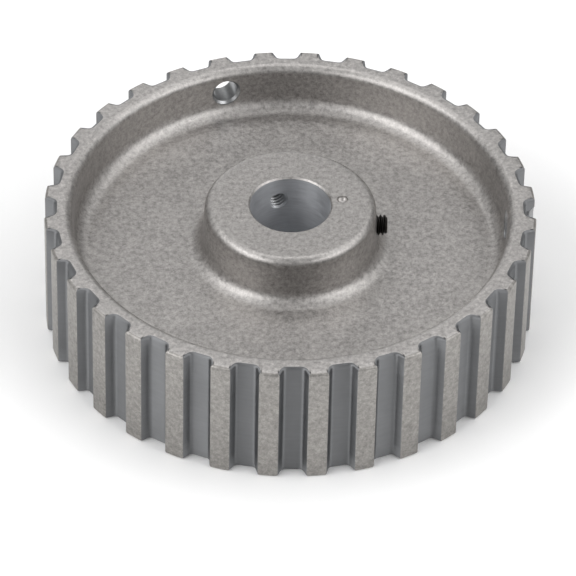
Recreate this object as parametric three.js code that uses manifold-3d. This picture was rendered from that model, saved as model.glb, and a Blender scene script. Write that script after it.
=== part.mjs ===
// A 32-tooth timing belt pulley for L-pitch belts, with two set screws in its hub.
// Millimetres, +Z up along the bore. The origin is on the bore's axis, in the plane of the rear rim face.
// +X runs along the first set screw.
import * as THREE from "three";
import { mergeVertices } from "three/addons/utils/BufferGeometryUtils.js";
import Module from "manifold-3d";

// Belt teeth
const TEETH = 32;
const BELT_PITCH = 9.525;
const PITCH_LINE_OFFSET = 0.381;
const LAND_WIDTH = 3.85;
const GROOVE_DEPTH = 2.0;
const FLANK_ANGLE = THREE.MathUtils.degToRad(25);
const GROOVE_CORNER_RADIUS = 0.9;
const FIRST_TOOTH_ANGLE = THREE.MathUtils.degToRad(4.85);

// Rim
const RIM_WIDTH = 26.7;
const RIM_INNER_RADIUS = 42.7;
const RIM_WALL_DRAFT = THREE.MathUtils.degToRad(3);
const RIM_FILLET = 3.0;
const RIM_EDGE_RADIUS = 1.7;

// Web
const WEB_THICKNESS = 6.0;
const FRONT_RECESS_DEPTH = 9.5;

// Hub and bore
const HUB_LENGTH = 27.5;
const HUB_RADIUS = 16.75;
const HUB_DRAFT = THREE.MathUtils.degToRad(3);
const HUB_FILLET = 3.0;
const HUB_EDGE_RADIUS = 1.6;
const BORE_RADIUS = 7.9375;
const BORE_CHAMFER = 0.3;

// Set screws: number 8, 32 threads to the inch, 5/16 inch long, each backed off the shaft by whole turns
const SCREW_RADIUS = 2.083;
const SCREW_LENGTH = 7.9375;
const SCREW_PITCH = 0.79375;
const SCREW_AXIS_HEIGHT = 22.0;
const SCREW_ANGLES = [0, THREE.MathUtils.degToRad(106)];
const SCREW_TURNS_OPEN = [4, 5];
const SCREW_END_CHAMFER = 0.4;
const CUP_RADIUS = 1.1;
const CUP_DEPTH = 0.5;
const SOCKET_ACROSS_FLATS = 1.984;
const SOCKET_DEPTH = 2.2;
const SCREW_HOLE_RADIUS = 2.3;

// Holes through the rim that let a hex key reach the screws
const ACCESS_HOLE_RADIUS = 2.5;
const ACCESS_CHAMFER = 0.45;
const ACCESS_COUNTERSINK = 1.0;

// Fineness of the faceted surfaces
const ROUND_STEPS = 64;
const CORNER_STEPS = 3;
const HOLE_STEPS = 24;
const CUT_MARGIN = 2;

const OUTER_RADIUS = (TEETH * BELT_PITCH) / (2 * Math.PI) - PITCH_LINE_OFFSET;
const ROOT_RADIUS = OUTER_RADIUS - GROOVE_DEPTH;
const WEB_TOP = RIM_WIDTH - FRONT_RECESS_DEPTH;
const WEB_BOTTOM = WEB_TOP - WEB_THICKNESS;

const manifoldLibrary = await Module();
manifoldLibrary.setup();

function toSolid(geometry) {
  const bare = geometry.clone();
  bare.deleteAttribute("normal");
  bare.deleteAttribute("uv");
  const merged = mergeVertices(bare);
  const mesh = new manifoldLibrary.Mesh({
    numProp: 3,
    vertProperties: new Float32Array(merged.attributes.position.array),
    triVerts: new Uint32Array(merged.index.array),
  });
  return new manifoldLibrary.Manifold(mesh);
}

function toGeometry(solid) {
  const mesh = solid.getMesh();
  const geometry = new THREE.BufferGeometry();
  geometry.setAttribute("position", new THREE.BufferAttribute(mesh.vertProperties, 3));
  geometry.setIndex(new THREE.BufferAttribute(mesh.triVerts, 1));
  geometry.computeVertexNormals();
  return geometry;
}

// Points of the arc that rounds the corner between two straight edges
function roundCorner(before, corner, after, radius) {
  const toBefore = before.clone().sub(corner).normalize();
  const toAfter = after.clone().sub(corner).normalize();
  const halfAngle = Math.acos(toBefore.dot(toAfter)) / 2;
  const bisector = toBefore.clone().add(toAfter).normalize();
  const centre = corner.clone().addScaledVector(bisector, radius / Math.sin(halfAngle));
  const tangentLength = radius / Math.tan(halfAngle);
  const start = corner.clone().addScaledVector(toBefore, tangentLength).sub(centre);
  const end = corner.clone().addScaledVector(toAfter, tangentLength).sub(centre);
  const turn = Math.atan2(start.cross(end), start.dot(end));
  const points = [];
  for (let step = 0; step <= CORNER_STEPS; step += 1) {
    const spoke = start.clone().rotateAround(new THREE.Vector2(), (turn * step) / CORNER_STEPS);
    points.push(centre.clone().add(spoke));
  }
  return points;
}

// A closed outline from corners {x, y, round}, where round is the corner's radius, or 0 for a sharp one
function roundedOutline(corners) {
  const points = corners.map((corner) => new THREE.Vector2(corner.x, corner.y));
  const count = points.length;
  return corners.flatMap((corner, index) => {
    if (corner.round === 0) return [points[index]];
    const before = points[(index + count - 1) % count];
    const after = points[(index + 1) % count];
    return roundCorner(before, points[index], after, corner.round);
  });
}

// The recess between hub and rim, from hub face to rim face, as radius and height above the web
function recessCorners(hubHeight, rimHeight) {
  const hubBase = HUB_RADIUS + hubHeight * Math.tan(HUB_DRAFT);
  const rimBase = RIM_INNER_RADIUS - rimHeight * Math.tan(RIM_WALL_DRAFT);
  return [
    { radius: HUB_RADIUS, height: hubHeight, round: HUB_EDGE_RADIUS },
    { radius: hubBase, height: 0, round: HUB_FILLET },
    { radius: rimBase, height: 0, round: RIM_FILLET },
    { radius: RIM_INNER_RADIUS, height: rimHeight, round: RIM_EDGE_RADIUS },
  ];
}

// The wheel's half section, as a closed outline that runs anticlockwise from the rear of the bore
function wheelSection(blankRadius) {
  const rear = recessCorners(WEB_BOTTOM, WEB_BOTTOM).map((corner) => {
    return { x: corner.radius, y: WEB_BOTTOM - corner.height, round: corner.round };
  });
  const front = recessCorners(HUB_LENGTH - WEB_TOP, FRONT_RECESS_DEPTH).map((corner) => {
    return { x: corner.radius, y: WEB_TOP + corner.height, round: corner.round };
  });
  return roundedOutline([
    { x: BORE_RADIUS, y: BORE_CHAMFER, round: 0 },
    { x: BORE_RADIUS + BORE_CHAMFER, y: 0, round: 0 },
    ...rear,
    { x: blankRadius, y: 0, round: 0 },
    { x: blankRadius, y: RIM_WIDTH, round: 0 },
    ...front.reverse(),
    { x: BORE_RADIUS + BORE_CHAMFER, y: HUB_LENGTH, round: 0 },
    { x: BORE_RADIUS, y: HUB_LENGTH - BORE_CHAMFER, round: 0 },
  ]);
}

function revolve(outline, steps) {
  const geometry = new THREE.LatheGeometry([...outline, outline[0]], steps);
  geometry.rotateX(Math.PI / 2);
  return geometry;
}

// The outline of the toothed rim, one tooth and the groove after it at a time
function toothOutline() {
  const toothStep = (2 * Math.PI) / TEETH;
  const landHalfAngle = LAND_WIDTH / 2 / OUTER_RADIUS;
  const grooveTopHalf = OUTER_RADIUS * Math.sin(toothStep / 2 - landHalfAngle);
  const floorHalf = grooveTopHalf - GROOVE_DEPTH * Math.tan(FLANK_ANGLE);
  const corners = [];
  const addPolar = (radius, angle) => {
    corners.push({ x: radius * Math.cos(angle), y: radius * Math.sin(angle), round: 0 });
  };
  for (let tooth = 0; tooth < TEETH; tooth += 1) {
    const landAngle = FIRST_TOOTH_ANGLE + tooth * toothStep;
    const grooveAngle = landAngle + toothStep / 2;
    addPolar(OUTER_RADIUS, landAngle - landHalfAngle);
    addPolar(OUTER_RADIUS, landAngle);
    addPolar(OUTER_RADIUS, landAngle + landHalfAngle);
    for (const side of [-floorHalf, floorHalf]) {
      const floorCorner = new THREE.Vector2(ROOT_RADIUS, side).rotateAround(new THREE.Vector2(), grooveAngle);
      corners.push({ x: floorCorner.x, y: floorCorner.y, round: GROOVE_CORNER_RADIUS });
    }
  }
  return roundedOutline(corners);
}

function toothedPrism() {
  const depth = HUB_LENGTH + 2 * CUT_MARGIN;
  const geometry = new THREE.ExtrudeGeometry(new THREE.Shape(toothOutline()), { depth, bevelEnabled: false });
  geometry.translate(0, 0, -CUT_MARGIN);
  return geometry;
}

// Lays a cutter that points up +Z along a spoke at the screws' height, from one radius of the wheel outwards
function layAlongSpoke(geometry, angle, radius) {
  geometry.rotateY(Math.PI / 2);
  geometry.translate(radius, 0, SCREW_AXIS_HEIGHT);
  geometry.rotateZ(angle);
  return geometry;
}

function screwHoleCutter(angle) {
  const length = HUB_RADIUS + CUT_MARGIN;
  const geometry = new THREE.CylinderGeometry(SCREW_HOLE_RADIUS, SCREW_HOLE_RADIUS, length, HOLE_STEPS);
  geometry.rotateX(Math.PI / 2);
  geometry.translate(0, 0, length / 2);
  return layAlongSpoke(geometry, angle, 0);
}

// An access hole, with its inner mouth faced and chamfered and its outer mouth countersunk
function accessHoleCutter(angle) {
  const wallRadius = RIM_INNER_RADIUS - (RIM_WIDTH - SCREW_AXIS_HEIGHT) * Math.tan(RIM_WALL_DRAFT);
  const mouthRadius = ACCESS_HOLE_RADIUS + ACCESS_CHAMFER;
  const start = wallRadius - CUT_MARGIN;
  const sinkStart = OUTER_RADIUS - ACCESS_COUNTERSINK - start;
  const sinkDepth = ACCESS_COUNTERSINK + CUT_MARGIN;
  const outline = [
    new THREE.Vector2(0, 0),
    new THREE.Vector2(mouthRadius, 0),
    new THREE.Vector2(mouthRadius, CUT_MARGIN),
    new THREE.Vector2(ACCESS_HOLE_RADIUS, CUT_MARGIN + ACCESS_CHAMFER),
    new THREE.Vector2(ACCESS_HOLE_RADIUS, sinkStart),
    new THREE.Vector2(ACCESS_HOLE_RADIUS + sinkDepth, sinkStart + sinkDepth),
    new THREE.Vector2(0, sinkStart + sinkDepth),
  ];
  const geometry = new THREE.LatheGeometry(outline, HOLE_STEPS);
  geometry.rotateX(Math.PI / 2);
  return layAlongSpoke(geometry, angle, start);
}

function pulleyBody() {
  let solid = toSolid(revolve(wheelSection(OUTER_RADIUS + CUT_MARGIN), ROUND_STEPS));
  solid = solid.intersect(toSolid(toothedPrism()));
  for (const angle of SCREW_ANGLES) {
    solid = solid.subtract(toSolid(screwHoleCutter(angle)));
    solid = solid.subtract(toSolid(accessHoleCutter(angle)));
  }
  return toGeometry(solid);
}

// A set screw along +Z with its cup point at the origin and its hex socket at the far end
function setScrew() {
  const outline = [
    new THREE.Vector2(0, CUP_DEPTH),
    new THREE.Vector2(CUP_RADIUS, 0),
    new THREE.Vector2(SCREW_RADIUS - SCREW_END_CHAMFER, 0),
    new THREE.Vector2(SCREW_RADIUS, SCREW_END_CHAMFER),
    new THREE.Vector2(SCREW_RADIUS, SCREW_LENGTH - SCREW_END_CHAMFER),
    new THREE.Vector2(SCREW_RADIUS - SCREW_END_CHAMFER, SCREW_LENGTH),
    new THREE.Vector2(0, SCREW_LENGTH),
  ];
  const shank = new THREE.LatheGeometry(outline, HOLE_STEPS);
  shank.rotateX(Math.PI / 2);
  const socketRadius = SOCKET_ACROSS_FLATS / Math.sqrt(3);
  const socket = new THREE.CylinderGeometry(socketRadius, socketRadius, SOCKET_DEPTH + CUT_MARGIN, 6);
  socket.rotateX(Math.PI / 2);
  socket.translate(0, 0, SCREW_LENGTH + (CUT_MARGIN - SOCKET_DEPTH) / 2);
  return toGeometry(toSolid(shank).subtract(toSolid(socket)));
}

const castAluminium = new THREE.MeshStandardMaterial({ color: 0xa39e99, roughness: 0.55, metalness: 0.9 });

const pulley = new THREE.Group();

const body = new THREE.Mesh(pulleyBody(), castAluminium);
body.name = "pulley_body";
pulley.add(body);

SCREW_ANGLES.forEach((angle, index) => {
  const blackOxideSteel = new THREE.MeshStandardMaterial({ color: 0x1c1b19, roughness: 0.45, metalness: 0.8 });
  const cupRadius = BORE_RADIUS + SCREW_TURNS_OPEN[index] * SCREW_PITCH;
  const screw = new THREE.Mesh(setScrew(), blackOxideSteel);
  screw.name = `set_screw_${index + 1}`;
  screw.position.set(cupRadius, 0, SCREW_AXIS_HEIGHT);
  screw.rotation.y = Math.PI / 2;
  const spoke = new THREE.Group();
  spoke.rotation.z = angle;
  spoke.add(screw);
  pulley.add(spoke);
});

export default pulley;
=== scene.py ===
import math

import bmesh
import bpy
import numpy as np
from mathutils import Matrix, Vector


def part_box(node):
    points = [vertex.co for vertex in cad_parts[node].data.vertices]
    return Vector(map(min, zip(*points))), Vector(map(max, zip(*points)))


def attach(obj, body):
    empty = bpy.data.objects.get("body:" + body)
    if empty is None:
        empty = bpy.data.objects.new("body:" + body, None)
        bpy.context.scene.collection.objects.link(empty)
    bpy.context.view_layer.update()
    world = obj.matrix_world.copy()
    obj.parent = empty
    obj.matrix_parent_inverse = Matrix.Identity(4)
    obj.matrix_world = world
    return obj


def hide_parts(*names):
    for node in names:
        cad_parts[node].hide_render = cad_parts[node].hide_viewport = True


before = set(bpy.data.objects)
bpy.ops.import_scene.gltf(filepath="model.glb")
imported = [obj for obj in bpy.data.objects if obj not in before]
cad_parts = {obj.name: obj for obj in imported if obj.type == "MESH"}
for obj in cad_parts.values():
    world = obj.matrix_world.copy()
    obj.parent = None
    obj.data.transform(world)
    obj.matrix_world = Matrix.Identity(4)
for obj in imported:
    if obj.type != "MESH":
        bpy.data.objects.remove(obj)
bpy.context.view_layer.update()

# Every size below is in millimetres or degrees. The part's frame has +Z up along the bore.
MM = 0.001

# Belt teeth
TEETH = 32
BELT_PITCH = 9.525
PITCH_LINE_OFFSET = 0.381
LAND_WIDTH = 3.85
GROOVE_DEPTH = 2.0
FLANK_ANGLE = 25
GROOVE_CORNER_RADIUS = 0.9
TOOTH_TIP_RADIUS = 0.3
TOOTH_END_ROUND = 0.55
FIRST_TOOTH_ANGLE = 4.85

# Rim, web and hub
RIM_WIDTH = 26.7
RIM_INNER_RADIUS = 42.7
RIM_WALL_DRAFT = 3
RIM_FILLET = 3.0
RIM_EDGE_RADIUS = 1.7
WEB_THICKNESS = 6.0
FRONT_RECESS_DEPTH = 9.5
# The web turns down towards this much below itself, and the rim's fillet catches it before it gets there.
WEB_DIP = 0.3
WEB_DIP_WIDTH = 1.7
WEB_DIP_ROUND = 6.0
HUB_RADIUS = 16.75
HUB_DRAFT = 3
HUB_FILLET = 3.0
HUB_EDGE_RADIUS = 1.6
BORE_RADIUS = 7.9375
BORE_CHAMFER = 0.3

# Set screws and the holes that reach them
SCREW_RADIUS = 2.083
SCREW_PITCH = 0.79375
SCREW_ANGLES = (0, 106)
THREAD_CLEARANCE = 0.04
TAPPED_MINOR_RADIUS = 1.66
THREAD_DEPTH = 0.6134 * SCREW_PITCH
THREAD_FLANK_ANGLE = 60
THREAD_CREST_HALF_WIDTH = SCREW_PITCH / 16
THREAD_END_STEP = 0.05
CUP_RADIUS = 1.1
CUP_DEPTH = 0.5
CUP_MIDDLE_RADIUS = CUP_RADIUS * 0.5
CUP_MIDDLE_DEPTH = CUP_DEPTH * 0.75
SOCKET_ACROSS_FLATS = 1.984
SOCKET_DEPTH = 2.2
SOCKET_MOUTH = 0.12
SOCKET_CONE = 0.35
COUNTERSINK = 0.3
ACCESS_HOLE_RADIUS = 2.5
ACCESS_CHAMFER = 0.45
ACCESS_COUNTERSINK = 1.0
PUNCH_MARK_AT = (10.3, 8)
PUNCH_MARK_RADIUS = 1.1
PUNCH_MARK_DEPTH = 0.9

# Fineness. The land shares are points across one land, in half widths from its middle, and the thread
# marks are points across one thread, in pitches from the middle of its crest.
CORNER_STEPS = 8
GROOVE_STEPS = 4
TIP_STEPS = 3
END_ROUND_STEPS = 3
SIDE_ROWS = 8
PUNCH_STEPS = 6
LONGEST_STEP = 1.6
LAND_SHARES = (-1, -0.4, 0, 0.4, 1)
THREAD_MARKS = (-0.42, -0.24, -0.0625, 0.0625, 0.24, 0.42)
THREAD_SPARE_TURNS = 3
THREAD_COLUMNS = 48
HOLE_COLUMNS = 64
PULLEY_SHARP_ANGLE = 35
SCREW_SHARP_ANGLE = 30

# How far cutters reach past a surface, how close points are joined, and how close two radii count as one
MARGIN = 2.0
WELD = 0.0005
SAME_RADIUS = 0.01

OUTER_RADIUS = TEETH * BELT_PITCH / (2 * math.pi) - PITCH_LINE_OFFSET
ROOT_RADIUS = OUTER_RADIUS - GROOVE_DEPTH
WEB_TOP = RIM_WIDTH - FRONT_RECESS_DEPTH
WEB_BOTTOM = WEB_TOP - WEB_THICKNESS
FACE_START_RADIUS = RIM_INNER_RADIUS + 0.6 * RIM_EDGE_RADIUS
SECTION_END_RADIUS = RIM_INNER_RADIUS + 1.1 * RIM_EDGE_RADIUS

# The pulley's surfaces, in the order of its materials. The lands and rim faces are copies of the cast skin
# painted darker and lighter, as painted shade and painted light, and the grooves' machined finish is
# painted darker, as painted shade between the teeth.
CAST_SKIN, GROOVE_MACHINED_AND_SHADED, BORE, LAND_PAINTED_SHADE, RIM_FACE_PAINTED_LIGHT = range(5)


def node_box(name):
    """A CAD node's lowest and highest corners, in millimetres."""
    low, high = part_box(name)
    return np.array(low) / MM, np.array(high) / MM


HUB_LENGTH = node_box("pulley_body")[1][2]
SCREW_AXIS_HEIGHT = sum(corner[2] for corner in node_box("set_screw_1")) / 2
SCREW_LENGTH = float(np.diff([corner[0] for corner in node_box("set_screw_1")])[0])


# Outlines

def round_corner(before, corner, after, radius, steps):
    """Points of the arc that rounds the corner between two straight edges."""
    to_before = (before - corner) / np.linalg.norm(before - corner)
    to_after = (after - corner) / np.linalg.norm(after - corner)
    half_angle = math.acos(np.clip(to_before @ to_after, -1, 1)) / 2
    bisector = (to_before + to_after) / np.linalg.norm(to_before + to_after)
    centre = corner + bisector * radius / math.sin(half_angle)
    start = corner + to_before * radius / math.tan(half_angle) - centre
    end = corner + to_after * radius / math.tan(half_angle) - centre
    turn = math.atan2(start[0] * end[1] - start[1] * end[0], start @ end)
    angles = np.linspace(0, turn, steps + 1)
    across = np.array((-start[1], start[0]))
    return [centre + start * math.cos(a) + across * math.sin(a) for a in angles]


def rounded_outline(corners, closed):
    """Points along an outline of corners (x, y, radius, steps). A radius of 0 keeps the corner sharp."""
    points = [np.array(corner[:2], float) for corner in corners]
    outline = []
    for index, (_, _, radius, steps) in enumerate(corners):
        if radius == 0 or (not closed and index in (0, len(corners) - 1)):
            outline.append(points[index])
            continue
        after = points[(index + 1) % len(points)]
        outline += round_corner(points[index - 1], points[index], after, radius, steps)
    return np.array(outline)


def divided(outline, longest):
    """The same open outline with no step longer than the given length."""
    points = [outline[0]]
    for start, end in zip(outline[:-1], outline[1:]):
        count = max(1, math.ceil(np.linalg.norm(end - start) / longest))
        points += [start + (end - start) * step / count for step in range(1, count + 1)]
    return np.array(points)


def recess_corners(hub_height, rim_height):
    """The recess between hub and rim, from hub face to rim face, as radius and height above the web."""
    hub_base = HUB_RADIUS + hub_height * math.tan(math.radians(HUB_DRAFT))
    rim_base = RIM_INNER_RADIUS - rim_height * math.tan(math.radians(RIM_WALL_DRAFT))
    return [
        (HUB_RADIUS, hub_height, HUB_EDGE_RADIUS),
        (hub_base, 0, HUB_FILLET),
        (rim_base - RIM_FILLET - WEB_DIP_WIDTH, 0, WEB_DIP_ROUND),
        (rim_base, -WEB_DIP, RIM_FILLET),
        (RIM_INNER_RADIUS, rim_height, RIM_EDGE_RADIUS),
    ]


def wheel_section():
    """The half section inside the teeth, as radius and height, from rear rim face to front rim face."""
    rear_recess = recess_corners(WEB_BOTTOM, WEB_BOTTOM)
    front_recess = recess_corners(HUB_LENGTH - WEB_TOP, FRONT_RECESS_DEPTH)
    rear = [(radius, WEB_BOTTOM - height, rounding) for radius, height, rounding in rear_recess]
    front = [(radius, WEB_TOP + height, rounding) for radius, height, rounding in front_recess]
    bore = [
        (BORE_RADIUS + BORE_CHAMFER, 0, 0),
        (BORE_RADIUS, BORE_CHAMFER, 0),
        (BORE_RADIUS, HUB_LENGTH - BORE_CHAMFER, 0),
        (BORE_RADIUS + BORE_CHAMFER, HUB_LENGTH, 0),
    ]
    start = (SECTION_END_RADIUS, 0, 0)
    end = (SECTION_END_RADIUS, RIM_WIDTH, 0)
    corners = [start, *reversed(rear), *bore, *front, end]
    outline = rounded_outline([(*corner, CORNER_STEPS) for corner in corners], False)
    return divided(outline, LONGEST_STEP)


def tooth_outline():
    """The toothed rim's outline, and for each of its points whether it lies on a tooth's land."""
    tooth_step = 2 * math.pi / TEETH
    land_half_angle = LAND_WIDTH / 2 / OUTER_RADIUS
    floor_half = OUTER_RADIUS * math.sin(tooth_step / 2 - land_half_angle)
    floor_half -= GROOVE_DEPTH * math.tan(math.radians(FLANK_ANGLE))
    corners = []
    for tooth in range(TEETH):
        land_angle = math.radians(FIRST_TOOTH_ANGLE) + tooth * tooth_step
        groove_angle = land_angle + tooth_step / 2
        along = np.array((math.cos(groove_angle), math.sin(groove_angle)))
        across = np.array((-along[1], along[0]))
        for share in LAND_SHARES:
            angle = land_angle + share * land_half_angle
            rounding = TOOTH_TIP_RADIUS if abs(share) == 1 else 0
            spot = (OUTER_RADIUS * math.cos(angle), OUTER_RADIUS * math.sin(angle))
            corners.append((*spot, rounding, TIP_STEPS))
        for side in (-floor_half, floor_half):
            corners.append((*(along * ROOT_RADIUS + across * side), GROOVE_CORNER_RADIUS, GROOVE_STEPS))
    outline = rounded_outline(corners, True)
    on_land = np.hypot(*outline.T) > OUTER_RADIUS - TOOTH_TIP_RADIUS / 2
    return outline, on_land


def inset(outline, distance):
    """A closed outline moved inwards, at right angles to itself."""
    along = np.roll(outline, -1, 0) - np.roll(outline, 1, 0)
    along /= np.linalg.norm(along, axis=1)[:, None]
    return outline + np.column_stack((-along[:, 1], along[:, 0])) * distance


# Meshes

def weld(mesh, turn_outwards):
    """Joins points that lie together, drops faces without area, and turns faces outwards if told to."""
    bm = bmesh.new()
    bm.from_mesh(mesh)
    bmesh.ops.remove_doubles(bm, verts=bm.verts, dist=WELD * MM)
    bmesh.ops.dissolve_degenerate(bm, edges=bm.edges, dist=WELD * MM)
    if turn_outwards:
        bmesh.ops.recalc_face_normals(bm, faces=bm.faces)
    bm.to_mesh(mesh)
    bm.free()


def mesh_object(name, parts, materials, face_materials=None):
    """A closed mesh object from parts, each with its points in millimetres and its faces."""
    faces = []
    count = 0
    for points, part_faces in parts:
        faces += [[corner + count for corner in face] for face in part_faces]
        count += len(points)
    mesh = bpy.data.meshes.new(name)
    mesh.from_pydata(np.vstack([points for points, _ in parts]) * MM, [], faces)
    for material in materials:
        mesh.materials.append(material)
    if face_materials is not None:
        mesh.polygons.foreach_set("material_index", np.asarray(face_materials, np.int32))
    weld(mesh, True)
    piece = bpy.data.objects.new(name, mesh)
    bpy.context.scene.collection.objects.link(piece)
    return piece


def ring_faces(rows, columns, closed_rows):
    """Quads between neighbouring rows of a grid whose columns go all the way round."""
    last = rows if closed_rows else rows - 1
    faces = []
    for row in range(last):
        below, above = row * columns, (row + 1) % rows * columns
        for column in range(columns):
            beside = (column + 1) % columns
            faces.append((below + column, below + beside, above + beside, above + column))
    return faces


def smooth(piece, sharp_angle):
    """Smooth shading, with an edge left sharp where its faces meet at more than the angle."""
    piece.data.shade_smooth()
    piece.data.set_sharp_from_angle(angle=math.radians(sharp_angle))


def cut(piece, cutters):
    """Cuts the cutters out of the piece, keeps their materials on the cut faces, and deletes them."""
    for cutter in cutters:
        step = piece.modifiers.new("cut", "BOOLEAN")
        step.operation = "DIFFERENCE"
        step.solver = "EXACT"
        step.material_mode = "TRANSFER"
        step.object = cutter
        bpy.context.view_layer.update()
        shown = piece.evaluated_get(bpy.context.evaluated_depsgraph_get())
        result = bpy.data.meshes.new_from_object(shown)
        piece.modifiers.clear()
        piece.data = result
        weld(result, False)
    for cutter in cutters:
        bpy.data.objects.remove(cutter)


def spoke_frame(angle, radius):
    """Places a mesh made along +Z on a spoke of the wheel, at the screws' height."""
    turn = Matrix.Rotation(math.radians(angle), 4, "Z")
    out = Matrix.Rotation(math.radians(90), 4, "Y")
    return turn @ Matrix.Translation(Vector((radius, 0, SCREW_AXIS_HEIGHT)) * MM) @ out


def column_angles(columns):
    """The angle of each column of a grid that goes all the way round."""
    return np.arange(columns) * 2 * math.pi / columns


def turned(profile, columns):
    """Points and faces of a surface of revolution about +Z. A radius is a number or one per column."""
    angles = column_angles(columns)
    rings = []
    for radius, height in profile:
        flat = (radius * np.cos(angles), radius * np.sin(angles))
        rings.append(np.column_stack((*flat, np.full(columns, height))))
    return np.vstack(rings), ring_faces(len(rings), columns, False)


def thread(length, clearance, least, end_chamfer):
    """Points and faces of a right-hand thread along +Z, in rows along its helix, and its end radius."""
    marks = SCREW_PITCH * np.array(THREAD_MARKS)
    turns = math.ceil(length / SCREW_PITCH) + THREAD_SPARE_TURNS
    base = np.concatenate([marks + SCREW_PITCH * (turn - 1) for turn in range(turns)])
    height = base[:, None] + SCREW_PITCH * column_angles(THREAD_COLUMNS) / (2 * math.pi)
    crest = SCREW_RADIUS + clearance
    fall = (np.abs(marks) - THREAD_CREST_HALF_WIDTH) * math.tan(math.radians(THREAD_FLANK_ANGLE))
    one_turn = np.clip(crest - fall, least, crest)
    radius = np.repeat(np.tile(one_turn, turns)[:, None], THREAD_COLUMNS, 1)
    end_radius = least - THREAD_END_STEP
    if end_chamfer:
        radius = np.minimum(radius, end_radius + np.minimum(height, length - height).clip(0))
    radius[(height <= 0) | (height >= length)] = end_radius
    angles = np.broadcast_to(column_angles(THREAD_COLUMNS), radius.shape)
    points = np.stack((radius * np.cos(angles), radius * np.sin(angles), height.clip(0, length)), 2)
    faces = []
    for row in range(len(base) - len(marks) - 1):
        for column in range(THREAD_COLUMNS):
            wraps = column == THREAD_COLUMNS - 1
            here = row * THREAD_COLUMNS + column
            beside = here + 1 + (len(marks) - 1) * THREAD_COLUMNS * wraps
            faces.append((here, beside, beside + THREAD_COLUMNS, here + THREAD_COLUMNS))
    return (points.reshape(-1, 3), faces), end_radius


# Materials

CAST_ROUGHNESS = (0.39, 0.51)
MACHINED_ROUGHNESS_SPREAD = 0.06
QUARTER_TURN = 0.25


def new_material(name, colour, roughness):
    """A metal material, its node tree, and its surface shader."""
    material = bpy.data.materials.new(name)
    material.use_nodes = True
    tree = material.node_tree
    shader = tree.nodes["Principled BSDF"]
    shader.inputs["Base Color"].default_value = (*colour, 1)
    shader.inputs["Metallic"].default_value = 1
    shader.inputs["Roughness"].default_value = roughness
    return material, tree, shader


def node(tree, kind, inputs=(), **settings):
    """Adds a node, sets its properties, and sets or links its inputs."""
    added = tree.nodes.new(kind)
    for name, value in settings.items():
        setattr(added, name, value)
    for name, value in dict(inputs).items():
        if isinstance(value, bpy.types.NodeSocket):
            tree.links.new(value, added.inputs[name])
        else:
            added.inputs[name].default_value = value
    return added


def noise(tree, per_mm, detail=3.0, roughness=0.6):
    """Noise from 0 to 1. per_mm is how many of its features fit in a millimetre, along each axis."""
    place = node(tree, "ShaderNodeTexCoord").outputs["Object"]
    scale = [each / MM for each in per_mm]
    mapping = node(tree, "ShaderNodeMapping", {"Vector": place, "Scale": scale})
    settings = {"Vector": mapping.outputs["Vector"], "Scale": 1.0, "Detail": detail, "Roughness": roughness}
    return node(tree, "ShaderNodeTexNoise", settings).outputs["Fac"]


def spread(tree, factor, low, high, centre=0.5, half_width=0.25):
    """Turns noise near its middle value into a number from low to high."""
    settings = {
        "Value": factor,
        "From Min": centre - half_width,
        "From Max": centre + half_width,
        "To Min": low,
        "To Max": high,
    }
    return node(tree, "ShaderNodeMapRange", settings).outputs["Result"]


def product(tree, *factors):
    """The product of several numbers."""
    result = factors[0]
    for factor in factors[1:]:
        result = node(tree, "ShaderNodeMath", {0: result, 1: factor}, operation="MULTIPLY").outputs[0]
    return result


def tint(tree, shader, colour, factor):
    """Sets the shader's colour to one colour times a varying number."""
    scaled = node(tree, "ShaderNodeVectorMath", {0: colour, "Scale": factor}, operation="SCALE")
    tree.links.new(scaled.outputs[0], shader.inputs["Base Color"])


def roughen(tree, shader, height, strength, depth_mm):
    """Bumps the surface by a height from 0 to 1 that stands for a real depth."""
    bump = node(tree, "ShaderNodeBump", {"Height": height, "Strength": strength, "Distance": depth_mm * MM})
    tree.links.new(bump.outputs["Normal"], shader.inputs["Normal"])


def cast_material(name, colour):
    """Cast aluminium after tumbling: even grey with a mottled grain and faint clouding."""
    material, tree, shader = new_material(name, colour, 0.5)
    grain = noise(tree, (1.2, 1.2, 1.2), 3.0, 0.65)
    speckle = noise(tree, (3.2, 3.2, 3.2), 2.0)
    clouds = noise(tree, (0.1, 0.1, 0.1), 2.0)
    pits = noise(tree, (0.9, 0.9, 0.9), 2.0)
    shade = product(
        tree,
        spread(tree, grain, 0.68, 1.32),
        spread(tree, speckle, 0.86, 1.14),
        spread(tree, clouds, 0.96, 1.04),
        spread(tree, pits, 1.0, 0.75, centre=0.74, half_width=0.05),
    )
    tint(tree, shader, colour, shade)
    tree.links.new(spread(tree, grain, *CAST_ROUGHNESS), shader.inputs["Roughness"])
    roughen(tree, shader, grain, 0.6, 0.08)
    return material


def machined_material(name, colour, per_mm, roughness, across):
    """Bare machined aluminium. Its tool marks run along the axis where per_mm is smallest.

    across is how far the marks spread a highlight, up and down the bore's axis.
    """
    material, tree, shader = new_material(name, colour, roughness)
    turning = node(tree, "ShaderNodeTangent", direction_type="RADIAL", axis="Z")
    tree.links.new(turning.outputs["Tangent"], shader.inputs["Tangent"])
    shader.inputs["Anisotropic"].default_value = across
    shader.inputs["Anisotropic Rotation"].default_value = QUARTER_TURN
    marks = noise(tree, per_mm, 3.0)
    clouds = noise(tree, (0.2, 0.2, 0.1), 2.0)
    shade = product(tree, spread(tree, marks, 0.9, 1.1), spread(tree, clouds, 0.94, 1.06))
    tint(tree, shader, colour, shade)
    smoothest = roughness - MACHINED_ROUGHNESS_SPREAD
    roughest = roughness + MACHINED_ROUGHNESS_SPREAD
    tree.links.new(spread(tree, marks, smoothest, roughest), shader.inputs["Roughness"])
    roughen(tree, shader, marks, 0.3, 0.01)
    return material


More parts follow.
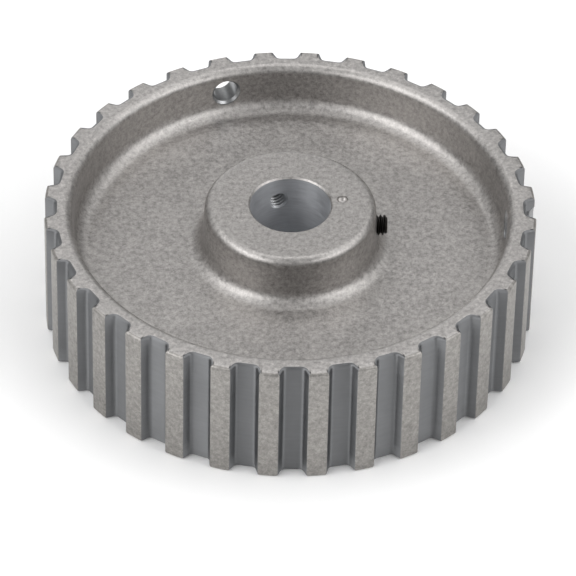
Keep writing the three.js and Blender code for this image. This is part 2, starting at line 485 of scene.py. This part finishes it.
def blackened_steel_material():
    """Black oxide on steel, with a little brown where it is thin."""
    colour = (0.03, 0.028, 0.026)
    material, tree, shader = new_material("blackened_steel", colour, 0.4)
    grain = noise(tree, (5.0, 5.0, 5.0), 3.0)
    tint(tree, shader, colour, spread(tree, grain, 0.6, 1.5))
    tree.links.new(spread(tree, grain, 0.32, 0.5), shader.inputs["Roughness"])
    roughen(tree, shader, grain, 0.3, 0.01)
    return material


def floor_material():
    """Pale matt paper."""
    material, _, shader = new_material("floor", (0.97, 0.97, 0.97), 0.9)
    shader.inputs["Metallic"].default_value = 0
    return material


# Pieces

def pulley_grid():
    """The whole pulley before its holes, as a grid with a row for each point of its section.

    Returns the points, the number of rows, how many of them belong to the section inside the teeth, and
    for each column whether it lies on a tooth's land.
    """
    outline, on_land = tooth_outline()
    angles = np.arctan2(outline[:, 1], outline[:, 0])
    spokes = np.column_stack((np.cos(angles), np.sin(angles)))
    rows = [(spokes * radius, height) for radius, height in wheel_section()]
    turns = np.linspace(0, math.pi / 2, END_ROUND_STEPS + 1)
    insets = TOOTH_END_ROUND * (1 - np.sin(turns))
    drops = TOOTH_END_ROUND * (1 - np.cos(turns))
    front_edge = inset(outline, TOOTH_END_ROUND)
    rows.append(((rows[-1][0] + front_edge) / 2, RIM_WIDTH))
    section_rows = len(rows)
    rows += [(inset(outline, distance), RIM_WIDTH - drop) for distance, drop in zip(insets, drops)]
    heights = np.linspace(RIM_WIDTH - TOOTH_END_ROUND, TOOTH_END_ROUND, SIDE_ROWS)
    rows += [(outline, height) for height in heights[1:-1]]
    rows += [(inset(outline, distance), drop) for distance, drop in zip(insets[::-1], drops[::-1])]
    rows.append(((rows[0][0] + front_edge) / 2, 0))
    points = [np.column_stack((flat, np.full(len(flat), height))) for flat, height in rows]
    return np.vstack(points), len(rows), section_rows, on_land


def face_finishes_and_painted_light(points, rows, section_rows, on_land):
    """Each face's material by where it lies in the grid. The lands take a copy of the cast skin with
    painted shade, and the rim faces one with painted light.
    """
    columns = len(on_land)
    radius = np.hypot(points[:, 0], points[:, 1]).reshape(rows, columns)[:, 0]
    in_bore = radius < BORE_RADIUS + SAME_RADIUS
    on_rim_face = radius > FACE_START_RADIUS
    finishes_and_painted_light = np.full((rows, columns), CAST_SKIN, np.int32)
    finishes_and_painted_light[in_bore & np.roll(in_bore, -1)] = BORE
    # The rim's flat faces get a copy of the cast skin painted lighter, which is painted light.
    finishes_and_painted_light[on_rim_face & np.roll(on_rim_face, -1)] = RIM_FACE_PAINTED_LIGHT
    # The tooth lands get a copy of the cast skin painted darker, which is painted shade, and the grooves a
    # machined finish also painted darker for the shade between the teeth.
    finishes_and_painted_light[section_rows:rows - 2] = np.where(on_land & np.roll(on_land, -1), LAND_PAINTED_SHADE, GROOVE_MACHINED_AND_SHADED)
    return finishes_and_painted_light.ravel()


def access_hole_cutter(angle, material):
    """The hole through the rim for a hex key, with a broken inner edge and a countersunk outer one."""
    wall = RIM_INNER_RADIUS - (RIM_WIDTH - SCREW_AXIS_HEIGHT) * math.tan(math.radians(RIM_WALL_DRAFT))
    mouth = ACCESS_HOLE_RADIUS + ACCESS_CHAMFER
    start = wall - MARGIN
    sink_start = OUTER_RADIUS - ACCESS_COUNTERSINK - start
    sink_depth = ACCESS_COUNTERSINK + MARGIN
    profile = [
        (0, 0),
        (mouth, 0),
        (mouth, MARGIN),
        (ACCESS_HOLE_RADIUS, MARGIN + ACCESS_CHAMFER),
        (ACCESS_HOLE_RADIUS, sink_start),
        (ACCESS_HOLE_RADIUS + sink_depth, sink_start + sink_depth),
        (0, sink_start + sink_depth),
    ]
    cutter = mesh_object("access_cutter", [turned(profile, HOLE_COLUMNS)], [material])
    cutter.matrix_world = spoke_frame(angle, start)
    return cutter


def countersink_cutter(angle, material):
    """The broken edge of a tapped hole where it comes out of the hub."""
    surface = HUB_RADIUS + (HUB_LENGTH - SCREW_AXIS_HEIGHT) * math.tan(math.radians(HUB_DRAFT))
    least = SCREW_RADIUS - COUNTERSINK
    depth = COUNTERSINK * 2 + MARGIN
    profile = [(0, 0), (least, 0), (least + depth, depth), (0, depth)]
    cutter = mesh_object("countersink_cutter", [turned(profile, HOLE_COLUMNS)], [material])
    cutter.matrix_world = spoke_frame(angle, surface - COUNTERSINK * 2)
    return cutter


def tapped_hole_cutter(angle, material):
    """The tapped hole through the hub's wall, in mesh with its screw's thread."""
    start = BORE_RADIUS - SCREW_PITCH * math.floor((BORE_RADIUS - MARGIN) / SCREW_PITCH)
    length = HUB_RADIUS + 2 * MARGIN - start
    surface, end_radius = thread(length, THREAD_CLEARANCE, TAPPED_MINOR_RADIUS, False)
    caps = [turned([(end_radius, height), (0, height)], THREAD_COLUMNS) for height in (0, length)]
    cutter = mesh_object("tapped_cutter", [surface, *caps], [material])
    cutter.matrix_world = spoke_frame(angle, start)
    return cutter


def punch_mark_cutter(material):
    """A round-bottomed punch mark on the hub's front face."""
    turns = np.linspace(0, math.pi / 2, PUNCH_STEPS)
    profile = [(PUNCH_MARK_RADIUS * math.sin(a), -PUNCH_MARK_DEPTH * math.cos(a)) for a in turns]
    profile += [(PUNCH_MARK_RADIUS, MARGIN), (0, MARGIN)]
    cutter = mesh_object("punch_cutter", [turned(profile, HOLE_COLUMNS)], [material])
    radius, angle = PUNCH_MARK_AT
    turn = Matrix.Rotation(math.radians(angle), 4, "Z")
    cutter.matrix_world = turn @ Matrix.Translation(Vector((radius, 0, HUB_LENGTH)) * MM)
    return cutter


def pulley_piece(cast, grooves_machined_and_shaded, bored, land, rims_painted_light, drilled, tapped):
    """The whole casting, with its teeth, bore, tapped holes and access holes."""
    points, rows, section_rows, on_land = pulley_grid()
    faces = ring_faces(rows, len(on_land), True)
    finishes_and_painted_light = face_finishes_and_painted_light(points, rows, section_rows, on_land)
    piece = mesh_object("pulley", [(points, faces)], [cast, grooves_machined_and_shaded, bored, land, rims_painted_light], finishes_and_painted_light)
    cutters = [punch_mark_cutter(cast)]
    for angle in SCREW_ANGLES:
        cutters.append(access_hole_cutter(angle, drilled))
        cutters.append(countersink_cutter(angle, drilled))
        cutters.append(tapped_hole_cutter(angle, tapped))
    cut(piece, cutters)
    smooth(piece, PULLEY_SHARP_ANGLE)
    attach(piece, "pulley")
    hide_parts("pulley_body")


def screw_piece(number, angle, material):
    """One set screw, with its thread, cup point and hex socket."""
    node_name = f"set_screw_{number}"
    low, high = node_box(node_name)
    centre = (low + high) / 2
    start = math.hypot(centre[0], centre[1]) - SCREW_LENGTH / 2
    surface, end_radius = thread(SCREW_LENGTH, 0, SCREW_RADIUS - THREAD_DEPTH, True)
    cup = [(end_radius, 0), (CUP_RADIUS, 0), (CUP_MIDDLE_RADIUS, CUP_MIDDLE_DEPTH), (0, CUP_DEPTH)]
    across = (column_angles(THREAD_COLUMNS) % math.radians(60)) - math.radians(30)
    hexagon = SOCKET_ACROSS_FLATS / 2 / np.cos(across)
    mouth = SOCKET_ACROSS_FLATS / math.sqrt(3) + SOCKET_MOUTH
    socket_floor = SCREW_LENGTH - SOCKET_DEPTH
    socket = [
        (end_radius, SCREW_LENGTH),
        (mouth, SCREW_LENGTH),
        (hexagon, SCREW_LENGTH - SOCKET_MOUTH),
        (hexagon, socket_floor),
        (0, socket_floor - SOCKET_CONE),
    ]
    parts = [surface, turned(cup, THREAD_COLUMNS), turned(socket, THREAD_COLUMNS)]
    piece = mesh_object(f"screw_{number}", parts, [material])
    piece.data.transform(spoke_frame(angle, start))
    smooth(piece, SCREW_SHARP_ANGLE)
    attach(piece, f"screw_{number}")
    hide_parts(node_name)


# Studio

CAMERA_AZIMUTH = -2.5
CAMERA_ELEVATION = 42.08
CAMERA_ROLL = 1.27
CAMERA_DISTANCE = 989.9
CAMERA_LENS = 312.0
AIM_HEIGHT = 5.51
AIM_SIDE = -0.12
CAMERA_REACH = 100000
FLOOR_SIZE = 8000
WORLD_STRENGTH = 0.27


def camera():
    """A long lens that looks down on the pulley's front face."""
    data = bpy.data.cameras.new("camera")
    data.lens = CAMERA_LENS
    data.clip_end = CAMERA_REACH * MM
    shot = bpy.data.objects.new("camera", data)
    bpy.context.scene.collection.objects.link(shot)
    turn = Matrix.Rotation(math.radians(CAMERA_AZIMUTH), 4, "Z")
    tilt = Matrix.Rotation(math.radians(90 - CAMERA_ELEVATION), 4, "X")
    roll = Matrix.Rotation(math.radians(CAMERA_ROLL), 4, "Z")
    aim = Matrix.Translation(Vector((AIM_SIDE, 0, AIM_HEIGHT)) * MM)
    back = Matrix.Translation(Vector((0, 0, CAMERA_DISTANCE)) * MM)
    shot.matrix_world = aim @ turn @ tilt @ back @ roll
    bpy.context.scene.camera = shot


def floor():
    """A wide pale floor at the pulley's rear face."""
    half = FLOOR_SIZE / 2 * MM
    mesh = bpy.data.meshes.new("floor")
    corners = [(-half, -half, 0), (half, -half, 0), (half, half, 0), (-half, half, 0)]
    mesh.from_pydata(corners, [], [(0, 1, 2, 3)])
    mesh.materials.append(floor_material())
    plane = bpy.data.objects.new("floor", mesh)
    bpy.context.scene.collection.objects.link(plane)


def soft_light(name, azimuth, elevation, width, strength):
    """An even light from far away. Azimuth turns from +X, and width is its apparent width in degrees."""
    data = bpy.data.lights.new(name, "SUN")
    data.angle = math.radians(width)
    data.energy = strength
    lamp = bpy.data.objects.new(name, data)
    bpy.context.scene.collection.objects.link(lamp)
    turn = Matrix.Rotation(math.radians(azimuth + 90), 4, "Z")
    lamp.matrix_world = turn @ Matrix.Rotation(math.radians(90 - elevation), 4, "X")


def studio():
    """Even white surroundings, two softboxes on each side, two high lights and three low ones."""
    world = bpy.data.worlds.new("studio")
    world.use_nodes = True
    world.node_tree.nodes["Background"].inputs["Color"].default_value = (1, 1, 1, 1)
    world.node_tree.nodes["Background"].inputs["Strength"].default_value = WORLD_STRENGTH
    bpy.context.scene.world = world
    bpy.context.scene.view_settings.view_transform = "Standard"
    soft_light("left_softbox_rear", 185, 48, 32, 0.8)
    soft_light("left_softbox_front", 220, 34, 36, 1.0)
    soft_light("right_softbox_rear", 353, 44, 38, 0.65)
    soft_light("right_softbox_front", 319, 33, 32, 0.65)
    soft_light("high_left", 122, 64, 36, 0.5)
    soft_light("high_right", 42, 60, 40, 0.55)
    soft_light("low_rear", 98, 12, 40, 0.4)
    soft_light("low_left", 212, 10, 44, 0.25)
    soft_light("low_right", 345, 10, 44, 0.22)


cast = cast_material("tumbled_aluminium", (0.396, 0.381, 0.369))
# tooth_lands_painted_shade is the cast skin painted darker: painted shade on the tooth lands.
land = cast_material("tooth_lands_painted_shade", (0.315, 0.303, 0.288))
# The grooves have real machined tool marks, and their darker colour is painted shade between the teeth.
grooves_machined_and_shaded = machined_material("hobbed_grooves_painted_shade", (0.228, 0.232, 0.238), (0.2, 0.2, 1.6), 0.6, 0.8)
bored = machined_material("reamed_bore", (0.58, 0.59, 0.61), (0.3, 0.3, 3.0), 0.55, 0.6)
drilled = machined_material("drilled_holes", (0.33, 0.335, 0.34), (2.5, 2.5, 2.5), 0.35, 0)
# tapped_threads_painted_light is the drilled finish painted brighter: painted light caught inside the
# tapped holes.
tapped = machined_material("tapped_threads_painted_light", (0.7, 0.71, 0.72), (2.5, 2.5, 2.5), 0.35, 0)
# rim_faces_painted_light is the cast skin painted lighter: painted light on the rim's flat faces.
rims_painted_light = cast_material("rim_faces_painted_light", (0.45, 0.433, 0.421))
blackened = blackened_steel_material()
pulley_piece(cast, grooves_machined_and_shaded, bored, land, rims_painted_light, drilled, tapped)
for number, angle in enumerate(SCREW_ANGLES, 1):
    screw_piece(number, angle, blackened)
floor()
camera()
studio()
